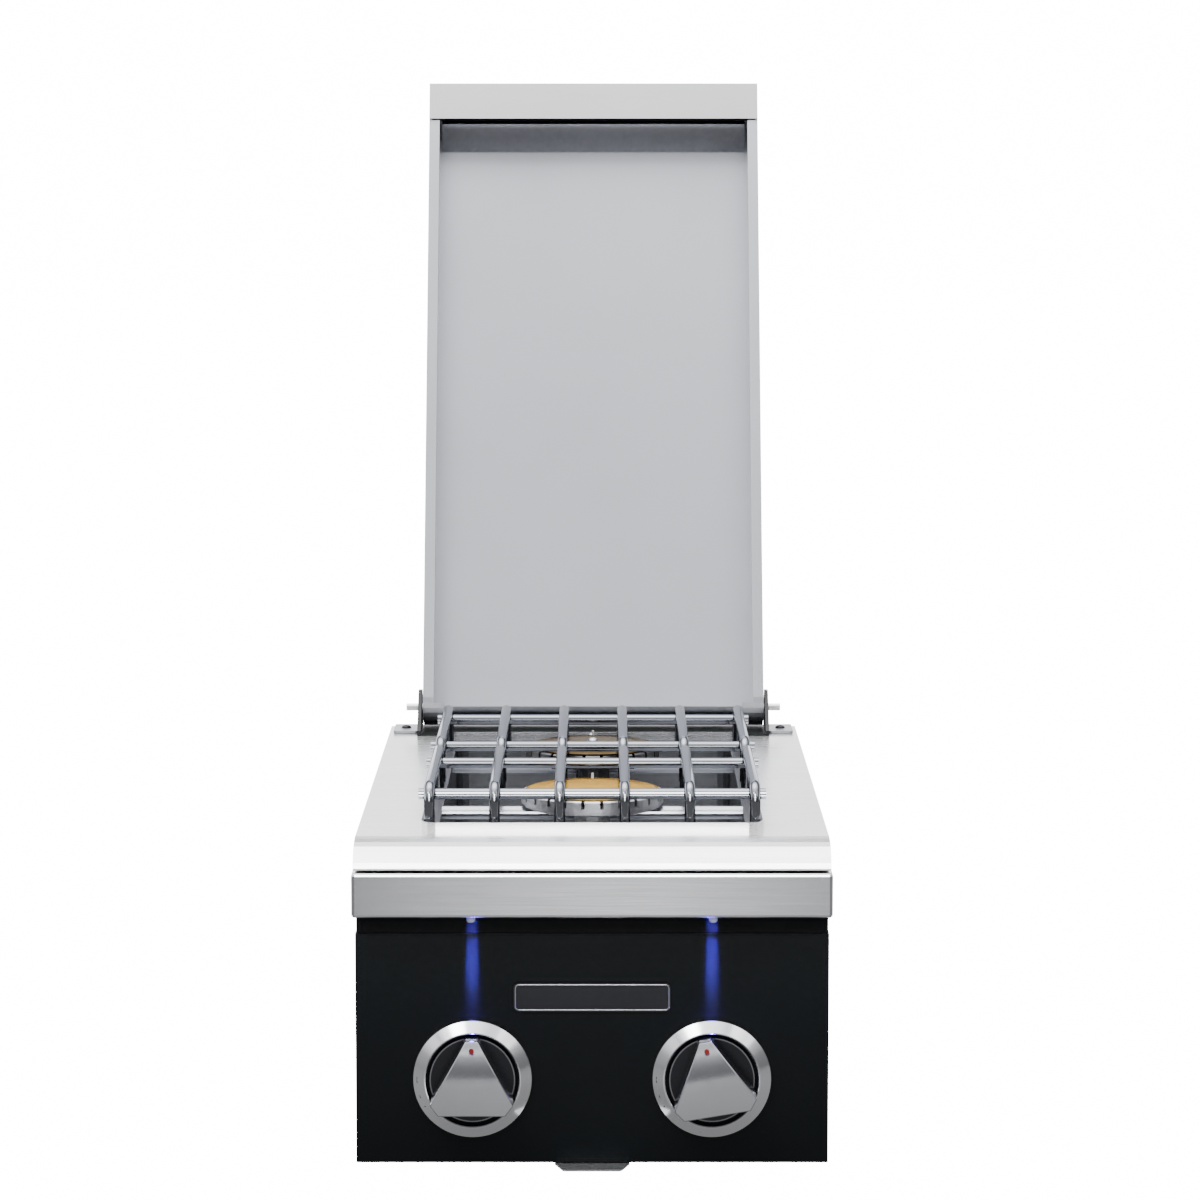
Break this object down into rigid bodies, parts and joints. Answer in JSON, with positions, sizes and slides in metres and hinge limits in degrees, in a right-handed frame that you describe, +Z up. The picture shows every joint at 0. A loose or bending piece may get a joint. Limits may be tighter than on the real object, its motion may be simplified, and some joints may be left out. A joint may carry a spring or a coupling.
{
  "type": "double side burner",
  "caption": "Drop-in double gas side burner with a hinged lid standing open, bent-rod grates, brass-capped burners, triangular knobs, front lights and a slide-out drip tray.",
  "frame": {"origin": "centre of the base plate's underside", "axes": "+X to the user's right, +Y to the back, +Z up; the knobs face -Y"},
  "size_m": [0.3454, 0.7856, 0.7976],
  "materials": {
    "steel": "satin",
    "bright_steel": "bright satin",
    "lid_steel": "brushed",
    "black": "semi gloss",
    "chrome": "polished",
    "satin": "satin",
    "brass": "polished",
    "aluminium": "cast",
    "zinc": "zinc plated",
    "dark_pan": "dark, in shadow",
    "red": "semi gloss",
    "lens": "gloss",
    "ceramic": "matte"
  },
  "bodies": {
    "body": {"bullnose_trim": "steel", "front_plate": "steel", "hinge_foot_left": "steel", "hinge_foot_right": "steel", "hinge_pin_left": "steel", "hinge_pin_right": "steel", "top_deck": "bright_steel", "support_rod_front": "bright_steel", "support_rod_rear": "bright_steel", "pan_screw": "bright_steel", "front_channel": "black", "control_panel": "black", "hinge_bracket": "black", "light_housing_left": "black", "light_housing_right": "black", "bezel_left": "chrome", "bezel_right": "chrome", "burner_cap_front": "brass", "burner_cap_rear": "brass", "valve_body_left": "brass", "valve_body_right": "brass", "orifice_left": "brass", "orifice_right": "brass", "gas_elbow": "brass", "inlet_fitting": "brass", "burner_base_front": "aluminium", "burner_base_rear": "aluminium", "burner_head_front": "aluminium", "burner_head_rear": "aluminium", "burner_tube_left": "aluminium", "burner_tube_right": "aluminium", "base_plate": "zinc", "housing": "zinc", "tray_guide_left": "zinc", "tray_guide_right": "zinc", "manifold_pipe": "zinc", "supply_tube": "zinc", "air_shutter_left": "zinc", "air_shutter_right": "zinc", "burner_pan": "dark_pan", "light_lens_left": "lens", "light_lens_right": "lens", "igniter_front": "ceramic", "igniter_rear": "ceramic"},
    "lid": {"lid_skin": "lid_steel", "lid_pull": "bright_steel", "lid_liner": "lid_steel"},
    "left_stem": {"stem_collar_left": "zinc"},
    "left_knob": {"knob_left": "satin", "pointer_dot_left": "red", "valve_stem_left": "brass"},
    "right_stem": {"stem_collar_right": "zinc"},
    "right_knob": {"knob_right": "satin", "pointer_dot_right": "red", "valve_stem_right": "brass"},
    "drip_tray": {"drip_tray": "steel"},
    "front_grate": {"front_grate": "chrome"},
    "rear_grate": {"rear_grate": "chrome"}
  },
  "joints": [
    {"name": "lid_hinge", "type": "hinge", "parent": "body", "child": "lid", "pos_m": [0, 0.2325, 0.2732], "axis": [1, 0, 0], "range_deg": [0, 111.76]},
    {"name": "left_knob_push", "type": "slide", "parent": "body", "child": "left_stem", "axis": [0, 1, 0], "range_m": [0, 0.003], "stiffness_N_per_m": 3000},
    {"name": "left_knob_turn", "type": "hinge", "parent": "left_stem", "child": "left_knob", "pos_m": [-0.087, -0.2941, 0.0761], "axis": [0, -1, 0], "range_deg": [0, 200]},
    {"name": "right_knob_push", "type": "slide", "parent": "body", "child": "right_stem", "axis": [0, 1, 0], "range_m": [0, 0.003], "stiffness_N_per_m": 3000},
    {"name": "right_knob_turn", "type": "hinge", "parent": "right_stem", "child": "right_knob", "pos_m": [0.087, -0.2941, 0.0761], "axis": [0, -1, 0], "range_deg": [-9.5, 190.5]},
    {"name": "drip_tray_slide", "type": "slide", "parent": "body", "child": "drip_tray", "axis": [0, -1, 0], "range_m": [0, 0.3]},
    {"name": "front_grate_lift", "type": "slide", "parent": "body", "child": "front_grate", "axis": [0, 0, 1], "range_m": [0, 0.06]},
    {"name": "rear_grate_lift", "type": "slide", "parent": "body", "child": "rear_grate", "axis": [0, 0, 1], "range_m": [0, 0.06]}
  ]
}
